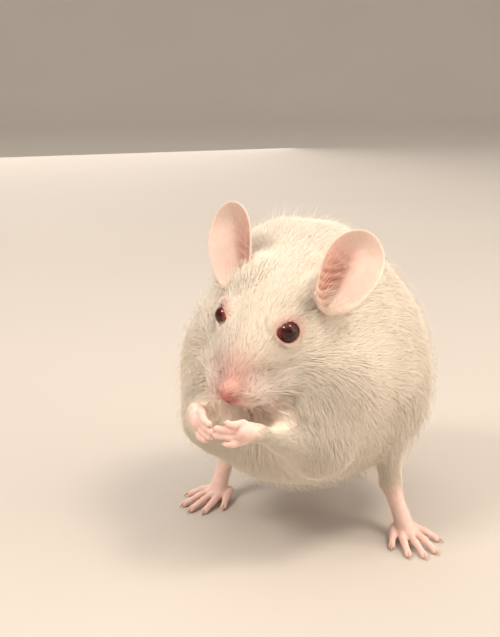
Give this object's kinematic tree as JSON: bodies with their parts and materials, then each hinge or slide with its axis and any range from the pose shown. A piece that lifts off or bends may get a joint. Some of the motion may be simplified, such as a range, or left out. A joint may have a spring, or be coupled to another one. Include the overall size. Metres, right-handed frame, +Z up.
{
  "type": "white pet mouse",
  "caption": "Life-size white pet mouse up on its hind feet, head bowed, forepaws together below the mouth, tail laid along the floor behind.",
  "frame": {"origin": "middle of the base of the mouse's bounding box, on the floor", "axes": "+X to the mouse's left, -Y the way it faces, +Z up"},
  "size_m": [0.0504, 0.122, 0.058],
  "materials": {
    "coat": "short, dense, soft white fur with a cream cast",
    "ear_skin": "thin, finely haired pink-beige skin",
    "bare_skin": "bare pink skin, satin",
    "eye": "wet, glossy ruby"
  },
  "bodies": {
    "root": {"head": "coat", "neck": "coat", "trunk": "coat", "upper_arm_left": "coat", "upper_arm_right": "coat", "forearm_left": "coat", "forearm_right": "coat", "thigh_left": "coat", "thigh_right": "coat", "shank_left": "coat", "shank_right": "coat", "ear_left": "ear_skin", "ear_right": "ear_skin", "hand_left": "bare_skin", "hand_right": "bare_skin", "foot_left": "bare_skin", "foot_right": "bare_skin", "tail_root": "bare_skin", "tail_middle": "bare_skin", "tail_end": "bare_skin", "tail_tip": "bare_skin", "eye_left": "eye", "eye_right": "eye"}
  },
  "joints": []
}
